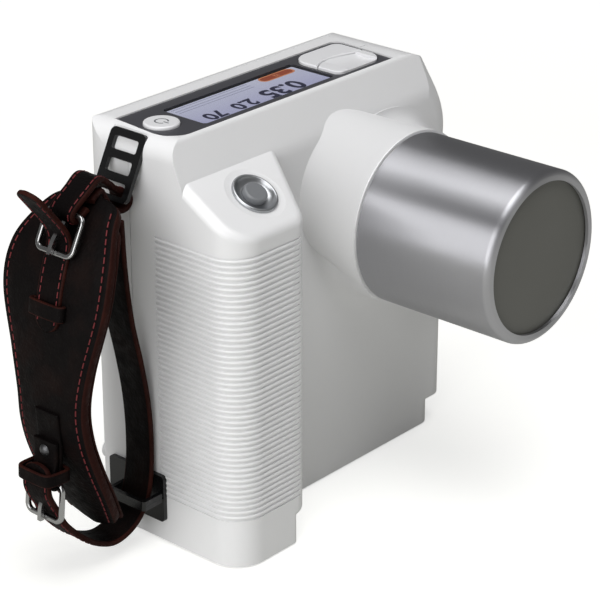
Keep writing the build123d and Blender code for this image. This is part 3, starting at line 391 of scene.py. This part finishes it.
def stitch_tree():
    """Geometry Nodes: short rounded stitches at an even pitch along a line."""
    tree = bpy.data.node_groups.new("stitches along a line", "GeometryNodeTree")
    face = tree.interface
    face.new_socket("Line", in_out="INPUT", socket_type="NodeSocketGeometry")
    sizes = {"Pitch": STITCH_PITCH, "Stitch length": STITCH_LENGTH, "Stitch radius": STITCH_RADIUS}
    for title, value in sizes.items():
        socket = face.new_socket(title, in_out="INPUT", socket_type="NodeSocketFloat")
        socket.default_value = value * MM
    face.new_socket("Thread", in_out="INPUT", socket_type="NodeSocketMaterial")
    face.new_socket("Stitches", in_out="OUTPUT", socket_type="NodeSocketGeometry")
    start = tree.nodes.new("NodeGroupInput")
    line = add_node(tree, "GeometryNodeMeshToCurve", {"Mesh": start.outputs["Line"]})
    links = {"Curve": line.outputs[0], "Length": start.outputs["Pitch"]}
    even = add_node(tree, "GeometryNodeResampleCurve", links, mode="LENGTH")
    tangent = add_node(tree, "GeometryNodeInputTangent")
    turn = add_node(tree, "FunctionNodeAlignRotationToVector", {"Vector": tangent.outputs[0]}, axis="Z")
    links = {"Radius": start.outputs["Stitch radius"], "Depth": start.outputs["Stitch length"]}
    bead = add_node(tree, "GeometryNodeMeshCylinder", links, Vertices=6)
    links = {"Points": even.outputs[0], "Instance": bead.outputs["Mesh"], "Rotation": turn.outputs[0]}
    placed = add_node(tree, "GeometryNodeInstanceOnPoints", links)
    real = add_node(tree, "GeometryNodeRealizeInstances", {"Geometry": placed.outputs[0]})
    links = {"Geometry": real.outputs[0], "Material": start.outputs["Thread"]}
    dressed = add_node(tree, "GeometryNodeSetMaterial", links)
    end = tree.nodes.new("NodeGroupOutput")
    tree.links.new(dressed.outputs[0], end.inputs["Stitches"])
    return tree


stitch_nodes = stitch_tree()


def stitches(name, lines):
    """Rows of stitches along lines of points in mm, as one plain mesh."""
    mesh = bpy.data.meshes.new(name + " line")
    verts = []
    edges = []
    for line in lines:
        start = len(verts)
        verts += [p * MM for p in line]
        edges += [(start + i, start + i + 1) for i in range(len(line) - 1)]
    mesh.from_pydata(verts, edges, [])
    guide = add_object(name + " line", mesh)
    modifier = guide.modifiers.new("stitches", "NODES")
    modifier.node_group = stitch_nodes
    items = stitch_nodes.interface.items_tree
    sockets = {item.name: item.identifier for item in items if item.in_out == "INPUT"}
    modifier[sockets["Thread"]] = thread
    evaluated = guide.evaluated_get(bpy.context.evaluated_depsgraph_get())
    plain = bpy.data.meshes.new_from_object(evaluated)
    piece = add_object(name, plain)
    bpy.data.objects.remove(guide)
    return piece


def crown_lift(side, half, crown):
    """Height that a crowned strip has above its flat face, at that distance from its middle line."""
    return crown * (1 - abs(side / half) ** 2.5)


def edge_rows(ribbon, inset, half_t, first=2, last=2, crown=0.0):
    """Two lines along a strip, that far in from its edges, in the bottom of its stitch grooves."""
    rows = []
    for sign in (-1, 1):
        row = []
        for i in range(first, len(ribbon.centre) - last):
            side = ribbon.half[i] - inset
            height = half_t + crown_lift(side, ribbon.half[i], crown) - GROOVE_DEEP + STITCH_RADIUS * 0.6
            row.append(ribbon.at(i, sign * side, height))
        rows.append(row)
    return rows


# Hand pad and its lining: middle line from top to bottom, with half widths
pad_points = [
    (-137.5, -4, 147.6, 15.0), (-145.5, -4, 142.6, 19.5), (-154.0, -4, 131.0, 25.6),
    (-159.0, -4, 115.0, 26.4), (-161.8, -4, 92.0, 20.6), (-162.6, -4, 76.0, 17.8),
    (-161.6, -4, 63.0, 18.1), (-158.0, -4, 50.0, 18.7), (-152.5, -4, 37.0, 18.1),
    (-146.5, -4, 26.0, 15.0), (-141.0, -4, 18.5, 10.6),
]
pad_ribbon = Ribbon(pad_points)
pad_ribbon.round_ends(5.0, 6.0)
pad = strap_mesh("crowned_pad", pad_ribbon, PAD_EDGE_T, crown=PAD_CROWN, groove_in=PAD_SEAM,
                 materials=[black_leather, brown_leather])
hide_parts("hand_pad")
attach(pad, "strap")
pad_rows = edge_rows(pad_ribbon, PAD_SEAM, PAD_EDGE_T / 2, 5, 5, crown=PAD_CROWN)
pad_stitches = stitches("pad_stitches", pad_rows)
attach(pad_stitches, "strap")

lining_points = [(x + 2.9, y, z, h * 0.97) for x, y, z, h in pad_points[1:]]
lining_ribbon = Ribbon(lining_points)
lining_ribbon.round_ends(4.0, 5.0)
lining = strap_mesh("soft_lining", lining_ribbon, LINING_T, round_r=0.5,
                    materials=[brown_leather, brown_leather])
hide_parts("pad_lining")
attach(lining, "strap")


def leather_strip(name, node, points, thickness, ends=(0, 0), sew=(2, 2), stitched=True, inset=1.7,
                  edge=brown_leather, inside=0):
    """One sewn strip that stands for a CAD node, with a row of stitches near each edge."""
    ribbon = Ribbon(points, 0.8)
    ribbon.round_ends(*ends)
    groove_in = inset if stitched else 0.0
    round_r = min(0.7, thickness / 2 - 0.05)
    piece = strap_mesh(name, ribbon, thickness, groove_in=groove_in, round_r=round_r, inside=inside,
                       materials=[black_leather, edge])
    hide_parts(node)
    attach(piece, "strap")
    if stitched:
        rows = stitches(name + "_stitches", edge_rows(ribbon, inset, thickness / 2, *sew))
        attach(rows, "strap")


# Middle lines of the narrow strips in mm, as (x, z)
loop_points = [
    (-145.2, 149.4), (-142.0, 151.0), (-137.2, 151.3), (-133.4, 147.0), (-129.8, 141.8), (-124.6, 138.9),
    (-120.6, 138.9), (-118.7, 141.2), (-119.4, 144.2), (-122.6, 146.35), (-126.2, 148.3), (-131.5, 152.6),
    (-138.5, 156.2), (-146.0, 154.6), (-152.9, 149.9), (-154.8, 147.4), (-153.2, 145.2), (-150.6, 145.9),
    (-146.8, 148.2),
]
tongue_points = [
    (-171.8, 160.6), (-164.0, 151.0), (-158.4, 143.6), (-156.2, 138.0), (-157.4, 133.2), (-159.6, 127.0),
    (-161.7, 120.0), (-163.4, 112.0), (-164.6, 104.5),
]
chape_points = [
    (-166.3, 73.0), (-165.6, 62.0), (-165.7, 54.0), (-166.2, 49.0), (-166.5, 45.4), (-168.4, 43.1),
    (-170.8, 44.6), (-170.3, 47.4), (-168.5, 51.0), (-167.7, 56.0), (-167.6, 61.5),
]
belt_points = [
    (-172.0, 53.2), (-173.1, 47.0), (-173.0, 42.2), (-170.8, 37.2), (-168.4, 33.2), (-167.1, 29.6),
    (-164.0, 25.0), (-157.0, 17.6), (-148.5, 11.4), (-139.5, 8.6), (-130.0, 11.4), (-123.4, 18.5),
    (-120.3, 30.0), (-119.6, 45.0), (-120.8, 62.0), (-124.0, 80.0), (-127.8, 97.0), (-130.4, 118.0),
    (-131.5, 139.2),
]


def shifted(x):
    """Middle of the upper loop and its half width, from the buckle at one end to the plate."""
    t = min(max((x + 146.0) / 19.0, 0.0), 1.0)
    return STRAP_Y + (PLATE_Y - STRAP_Y) * t, 6.0 - 0.5 * t


loop_line = [(x, shifted(x)[0], z, shifted(x)[1]) for x, z in loop_points]
tongue_line = [(x, STRAP_Y, z, 6.2) for x, z in tongue_points]
chape_line = [(x, STRAP_Y, z, 6.0) for x, z in chape_points]
belt_line = [(x, STRAP_Y - 0.2, z, 7.0) for x, z in belt_points]
leather_strip("loop_strip", "upper_loop", loop_line, LEATHER, inside=1)
leather_strip("tongue_strip", "pad_tongue", tongue_line, THIN_LEATHER, (5.0, 6.0), (6, 6))
leather_strip("chape_strip", "lower_chape", chape_line, THIN_LEATHER, stitched=False, edge=black_leather)
leather_strip("belt_strip", "long_belt", belt_line, LEATHER, (5.0, 0.0), (6, 2))


def keeper_band(name, node, place, lean, section, half_width):
    """Soft leather loop round the strap: its section is given across the strap and out from the pad."""
    up = Vector((sin(radians(lean)), 0, cos(radians(lean))))
    out = Vector((-up.z, 0, up.x))
    outline = list(section) + [(-side, height) for side, height in reversed(section[:-1])]
    centre = [Vector(place) + Vector((0, side, 0)) + out * height for side, height in outline]
    ribbon = Ribbon([tuple(p) + (half_width,) for p in centre], 0.5, across=tuple(up))
    piece = strap_mesh(name, ribbon, KEEPER_T, crown=0.35, round_r=0.5,
                       materials=[black_leather, brown_leather])
    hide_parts(node)
    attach(piece, "strap")


keeper_band("upper_keeper_band", "upper_keeper", (-162.3, STRAP_Y, 112.8), 9.0,
            [(7.2, 0.3), (8.1, 1.4), (7.2, 2.9), (4.0, 3.3), (0.0, 3.4)], 3.1)
keeper_band("lower_keeper_band", "lower_keeper", (-163.4, STRAP_Y, 48.6), 3.0,
            [(0.0, 0.7), (6.8, 0.8), (8.2, 2.2), (8.3, 6.0), (7.9, 10.0), (6.0, 11.8), (0.0, 12.1)], 2.6)


# The grip's outline seen from above and its grooves, as the CAD has them
GRIP_LEFT_X = -116.0 * MM
GRIP_FRONT_Y = -54.0 * MM
GRIP_RIGHT_X = -78.0 * MM
GRIP_LEFT_R = 13.0 * MM
GRIP_RIGHT_R = 8.0 * MM
GROOVE_PITCH = 2.26 * MM
GROOVE_COUNT = 49
FIRST_GROOVE_Z = 20.2 * MM
GROOVE_END_Y = -12.5 * MM
GROOVE_END_TURN = radians(312.5)
# The ribs between: half width, height over the grip, depth of their edges in it, length of their ends
RIB_HALF = 0.68 * MM
RIB_CROWN = 0.26 * MM
RIB_SINK = 0.06 * MM
RIB_FADE = 1.6 * MM


def round_corner(centre, radius, start, end, steps):
    """Points on a round corner, each with the direction out of it."""
    places = []
    for i in range(steps + 1):
        turn = start + (end - start) * i / steps
        out = Vector((cos(turn), sin(turn)))
        places.append((centre + radius * out, out))
    return places


def grip_outline():
    """Points along the grip from its left side round to the right corner, each with the direction out."""
    places = [(Vector((GRIP_LEFT_X, GROOVE_END_Y - RIB_FADE * i / 4)), Vector((-1, 0))) for i in range(5)]
    left_centre = Vector((GRIP_LEFT_X + GRIP_LEFT_R, GRIP_FRONT_Y + GRIP_LEFT_R))
    right_centre = Vector((GRIP_RIGHT_X - GRIP_RIGHT_R, GRIP_FRONT_Y + GRIP_RIGHT_R))
    places += round_corner(left_centre, GRIP_LEFT_R, pi, 1.5 * pi, 16)
    return places + round_corner(right_centre, GRIP_RIGHT_R, 1.5 * pi, GROOVE_END_TURN, 14)


def add_rib(mesh, places, z):
    """One closed rib along the outline: rounded outside, a shallow keel inside the grip, low ends."""
    steps = [0.0] + [(b[0] - a[0]).length for a, b in zip(places, places[1:])]
    done = [sum(steps[:i + 1]) for i in range(len(steps))]
    rings = []
    for (point, out), length in zip(places, done):
        end_gap = min(length, done[-1] - length, RIB_FADE) / RIB_FADE
        rise = (RIB_CROWN + RIB_SINK) * sqrt(end_gap * (2 - end_gap))
        section = [(t, rise * (1 - t * t) - RIB_SINK) for t in (-1, -0.75, -0.4, 0, 0.4, 0.75, 1)]
        section.append((0, -2 * RIB_SINK))
        rings.append([mesh.verts.new((*(point + out * lift), z + t * RIB_HALF)) for t, lift in section])
    for first, second in zip(rings, rings[1:]):
        for i in range(len(first)):
            j = (i + 1) % len(first)
            mesh.faces.new((first[i], first[j], second[j], second[i])).smooth = True
    mesh.faces.new(rings[0])
    mesh.faces.new(rings[-1])


mesh = bmesh.new()
outline = grip_outline()
for count in range(GROOVE_COUNT - 1):
    add_rib(mesh, outline, FIRST_GROOVE_Z + (count + 0.5) * GROOVE_PITCH)
bmesh.ops.recalc_face_normals(mesh, faces=mesh.faces)
data = bpy.data.meshes.new("grip_ribs")
mesh.to_mesh(data)
mesh.free()
data.materials.append(white_plastic)
grip_ribs = add_object("grip_ribs", data)
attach(grip_ribs, "unit")


# Printed marks, in mm: heights of the screen's face and of the power button's face, middle of the button
SCREEN_Z = 165.72
POWER_Z = 167.72
POWER_X = -101.0
POWER_Y = -3.0
INK_STEP = 0.02
BOLD = 0.035


def flat_text(name, text, size, place, material, height=SCREEN_Z):
    """Plain figures a hair above a face, read from behind the unit."""
    curve = bpy.data.curves.new(name, "FONT")
    curve.body = text
    curve.size = size
    curve.offset = BOLD * size
    curve.align_x = "CENTER"
    curve.align_y = "CENTER"
    holder = add_object(name + " text", curve)
    mesh = bpy.data.meshes.new_from_object(holder.evaluated_get(bpy.context.evaluated_depsgraph_get()))
    turned = Matrix.Translation((place[0], place[1], height)) @ Matrix.Rotation(pi, 4, "Z")
    mesh.transform(Matrix.Scale(MM, 4) @ turned)
    mesh.materials.clear()
    mesh.materials.append(material)
    bpy.data.objects.remove(holder)
    piece = add_object(name, mesh)
    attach(piece, "unit")


def flat_shape(name, outlines, material, body, height):
    """Flat printed shape made of one or more outlines in mm."""
    mesh = bpy.data.meshes.new(name)
    bm = bmesh.new()
    for points in outlines:
        bm.faces.new([bm.verts.new(Vector((x, y, height)) * MM) for x, y in points])
    bm.to_mesh(mesh)
    bm.free()
    mesh.materials.append(material)
    piece = add_object(name, mesh)
    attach(piece, body)


def rectangle(x, y, width, depth):
    """Outline of a rectangle about its middle."""
    return [(x - width / 2, y - depth / 2), (x + width / 2, y - depth / 2),
            (x + width / 2, y + depth / 2), (x - width / 2, y + depth / 2)]


def arc_band(centre, radius, width, start, end, steps=40):
    """Quads of a ring that runs from one angle to another, in degrees."""
    quads = []
    for i in range(steps):
        a = radians(start + (end - start) * i / steps)
        b = radians(start + (end - start) * (i + 1) / steps)
        near = radius - width / 2
        far = radius + width / 2
        corners = ((near, a), (far, a), (far, b), (near, b))
        quads.append([(centre[0] + r * cos(turn), centre[1] + r * sin(turn)) for r, turn in corners])
    return quads


# Inks: near-black blue figures, pale rules, a brick-red marker with an orange edge, grey button sign
ink = moulded_plastic("screen ink", "#2c2d47", 0.5)
pale_ink = moulded_plastic("pale screen ink", "#8f92b4", 0.5)
orange_ink = moulded_plastic("orange screen ink", "#a85136", 0.5)
pale_orange = moulded_plastic("pale orange screen ink", "#e39468", 0.5)
button_ink = moulded_plastic("grey button print", "#5f6166", 0.5)
flat_text("screen_time", "0.35", 12.5, (-40.0, -8.3), ink)
flat_text("screen_current", "2.0", 9.5, (-62.5, -9.2), ink)
flat_text("screen_voltage", "70", 9.5, (-79.0, -9.2), ink)


def pill(x, y, width, depth, steps=8):
    """Outline of a bar with round ends."""
    half = depth / 2
    ends = []
    for side, start in ((1, -90), (-1, 90)):
        for i in range(steps + 1):
            a = radians(start + 180 * i / steps)
            ends.append((x + side * (width / 2 - half) + half * cos(a), y + half * sin(a)))
    return ends


flat_shape("screen_marker_edge", [pill(-29.0, 4.2, 19.5, 5.2)], pale_orange, "unit", SCREEN_Z)
flat_shape("screen_marker", [pill(-29.0, 4.2, 17.7, 3.6)], orange_ink, "unit", SCREEN_Z + INK_STEP)
flat_text("screen_range", "12", 3.0, (-29.0, 4.2), pale_orange, height=SCREEN_Z + 2 * INK_STEP)
rules = [rectangle(-66, y, 42, 0.35) for y in (5.6, 3.4, 1.4)]
flat_shape("screen_rules", rules, pale_ink, "unit", SCREEN_Z)
symbol = arc_band((POWER_X, POWER_Y), 2.5, 0.6, -60, 240) + [rectangle(POWER_X, POWER_Y - 2.4, 0.6, 2.6)]
flat_shape("power_symbol", symbol, button_ink, "power_button", POWER_Z)

# Floor, light and camera, in metres: glow of the floor near the object and far off, and where it changes
FLOOR_Z = cad_box[0][2]
FLOOR_HALF = 6.0
FLOOR_GLOW = 0.6
FAR_GLOW = 1.0
GLOW_START = 0.4
GLOW_END = 1.6
MIRROR_SHARE = 0.06
ROOM_LIGHT = 0.1


def seen_share(tree):
    """1 for what the camera or clear glass sees, a small share for what metal mirrors, else 0."""
    path = add_node(tree, "ShaderNodeLightPath")
    links = {0: path.outputs["Is Camera Ray"], 1: path.outputs["Is Transmission Ray"]}
    seen = add_node(tree, "ShaderNodeMath", links, operation="MAXIMUM")
    links = {0: path.outputs["Is Glossy Ray"], 2: seen.outputs[0]}
    share = add_node(tree, "ShaderNodeMath", links, operation="MULTIPLY_ADD")
    share.inputs[1].default_value = MIRROR_SHARE
    return share.outputs[0]


def plain_stage():
    """Pale floor that turns white in the distance; it keeps the object's shadow."""
    mesh = bpy.data.meshes.new("studio_floor")
    bm = bmesh.new()
    corners = [(-1, -1), (1, -1), (1, 1), (-1, 1)]
    bm.faces.new([bm.verts.new((x * FLOOR_HALF, y * FLOOR_HALF, FLOOR_Z)) for x, y in corners])
    bm.to_mesh(mesh)
    bm.free()
    look = {"Roughness": 0.9, "Specular_IOR_Level": 0.1}
    material, tree, shader = new_material("pale floor", linear("#d0d0cb"), **look)
    reach = add_node(tree, "ShaderNodeVectorMath", {0: object_coords(tree)}, operation="LENGTH")
    glow = remap(tree, reach.outputs["Value"], FLOOR_GLOW, FAR_GLOW, GLOW_START, GLOW_END)
    strength = add_node(tree, "ShaderNodeMath", {0: glow, 1: seen_share(tree)}, operation="MULTIPLY")
    tree.links.new(strength.outputs[0], shader.inputs["Emission Strength"])
    shader.inputs["Emission Color"].default_value = (1, 1, 1, 1)
    mesh.materials.append(material)
    floor = add_object("studio_floor", mesh)


def studio_world():
    """White background, of which only a little lights the object."""
    world = bpy.data.worlds.new("studio")
    world.use_nodes = True
    tree = world.node_tree
    background = tree.nodes["Background"]
    strength = remap(tree, seen_share(tree), ROOM_LIGHT, 1.0, 0.0, 1.0)
    tree.links.new(strength, background.inputs["Strength"])
    background.inputs["Color"].default_value = (1, 1, 1, 1)
    bpy.context.scene.world = world


def softbox(name, place, aim, size, watts):
    """Large soft lamp at a place in metres, turned to its aim."""
    light = bpy.data.lights.new(name, "AREA")
    light.shape = "RECTANGLE"
    light.size = size[0]
    light.size_y = size[1]
    light.energy = watts
    lamp = add_object(name, light)
    lamp.location = place
    lamp.rotation_euler = (Vector(aim) - Vector(place)).to_track_quat("-Z", "Y").to_euler()


# The photo's camera, solved from its edges: place in mm, direction and lens
CAMERA_PLACE = (-673.4, -573.3, 456.2)
CAMERA_AIM = (0.6861, 0.6017, -0.4088)
CAMERA_LENS = 138.2


def photo_camera():
    """Camera at the photograph's angle and distance."""
    data = bpy.data.cameras.new("photo camera")
    data.lens = CAMERA_LENS
    data.sensor_width = 36.0
    data.clip_start = 0.05
    data.clip_end = 30.0
    camera = add_object("photo camera", data)
    camera.location = Vector(CAMERA_PLACE) * MM
    camera.rotation_euler = Vector(CAMERA_AIM).to_track_quat("-Z", "Y").to_euler()
    bpy.context.scene.camera = camera


plain_stage()
studio_world()
softbox("left softbox", (-1.4, -0.2, 0.62), (0, 0, 0.08), (1.5, 1.2), 16)
softbox("top softbox", (-0.15, -0.3, 1.45), (0, 0, 0.1), (1.0, 1.3), 14.5)
photo_camera()
bpy.context.scene.view_settings.view_transform = "Standard"
